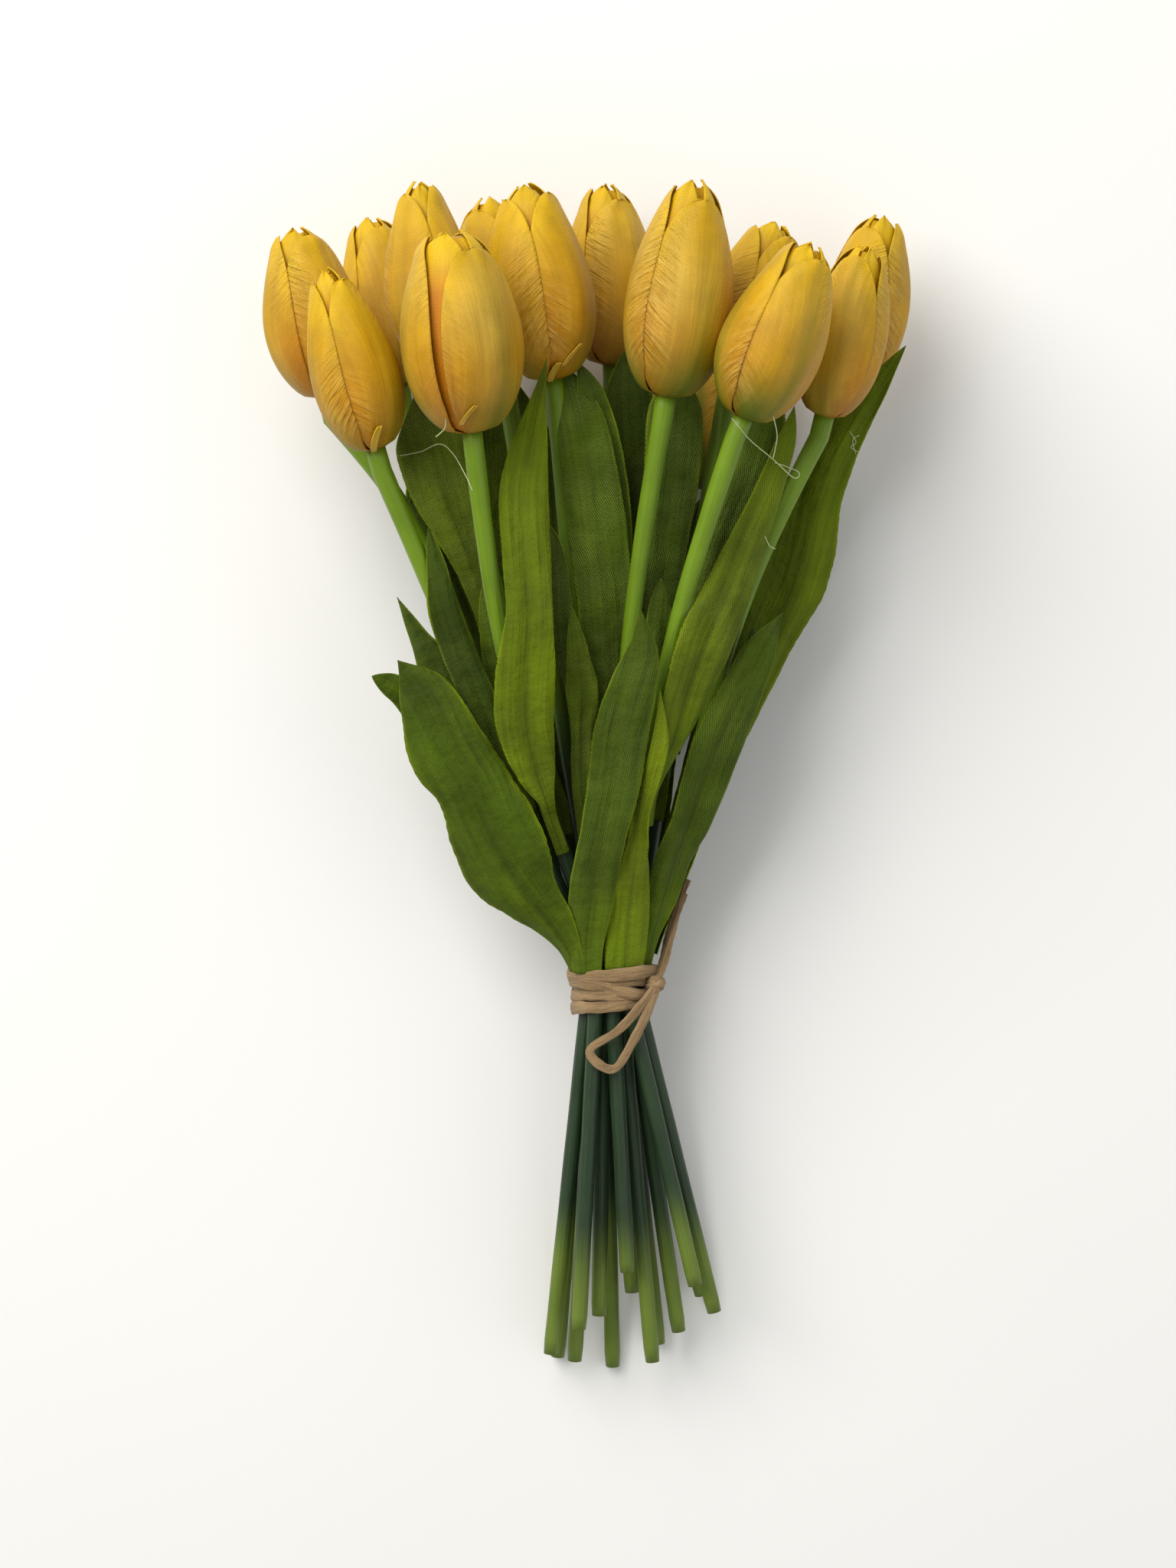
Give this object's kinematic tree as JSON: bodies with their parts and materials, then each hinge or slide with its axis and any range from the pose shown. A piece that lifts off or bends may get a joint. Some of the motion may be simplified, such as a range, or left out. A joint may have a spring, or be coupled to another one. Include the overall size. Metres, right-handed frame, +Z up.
{
  "type": "bunch of tulips",
  "caption": "Loose bunch of long-stemmed artificial tulips with closed buds and strap leaves, tied with a raffia band and lying on its back.",
  "frame": {"origin": "bottom centre of the bunch's bounding box, on the surface that it lies on", "axes": "+Y along the bunch from the stem ends to the blooms, +Z up from the surface, +X to the right seen from above with the blooms at the top"},
  "size_m": [0.1884, 0.356, 0.1015],
  "materials": {
    "petal": "satin-woven polyester, warm yellow with orange creases",
    "stem": "moulded soft plastic, yellow-green shading to dark green",
    "leaf": "twill-woven polyester, olive green",
    "raffia": "dry twisted raffia straw"
  },
  "bodies": {
    "root": {"bloom_01": "petal", "bloom_02": "petal", "bloom_03": "petal", "bloom_04": "petal", "bloom_05": "petal", "bloom_06": "petal", "bloom_07": "petal", "bloom_08": "petal", "bloom_09": "petal", "bloom_10": "petal", "bloom_11": "petal", "bloom_12": "petal", "bloom_13": "petal", "bloom_14": "petal", "stem_01": "stem", "stem_02": "stem", "stem_03": "stem", "stem_04": "stem", "stem_05": "stem", "stem_06": "stem", "stem_07": "stem", "stem_08": "stem", "stem_09": "stem", "stem_10": "stem", "stem_11": "stem", "stem_12": "stem", "stem_13": "stem", "stem_14": "stem", "leaf_left_broad": "leaf", "leaf_left_rolled": "leaf", "leaf_left_twisted": "leaf", "leaf_left_dark": "leaf", "leaf_left_woven": "leaf", "leaf_left_inner": "leaf", "leaf_left_curl": "leaf", "leaf_front_long": "leaf", "leaf_centre_woven": "leaf", "leaf_centre_frayed": "leaf", "leaf_front_centre": "leaf", "leaf_centre_small": "leaf", "leaf_front_pale": "leaf", "leaf_right_long": "leaf", "leaf_right_outer": "leaf", "leaf_right_rolled": "leaf", "leaf_right_broad": "leaf", "leaf_middle_woven": "leaf", "leaf_middle_dark": "leaf", "leaf_middle_twisted": "leaf", "leaf_low_bloom": "leaf", "leaf_right_frayed": "leaf", "leaf_middle_curl": "leaf", "leaf_back_left": "leaf", "leaf_back_middle": "leaf", "leaf_back_low": "leaf", "leaf_back_right": "leaf", "leaf_back_inner": "leaf", "leaf_back_outer": "leaf", "leaf_back_far": "leaf", "raffia_band": "raffia", "raffia_knot": "raffia"}
  },
  "joints": []
}
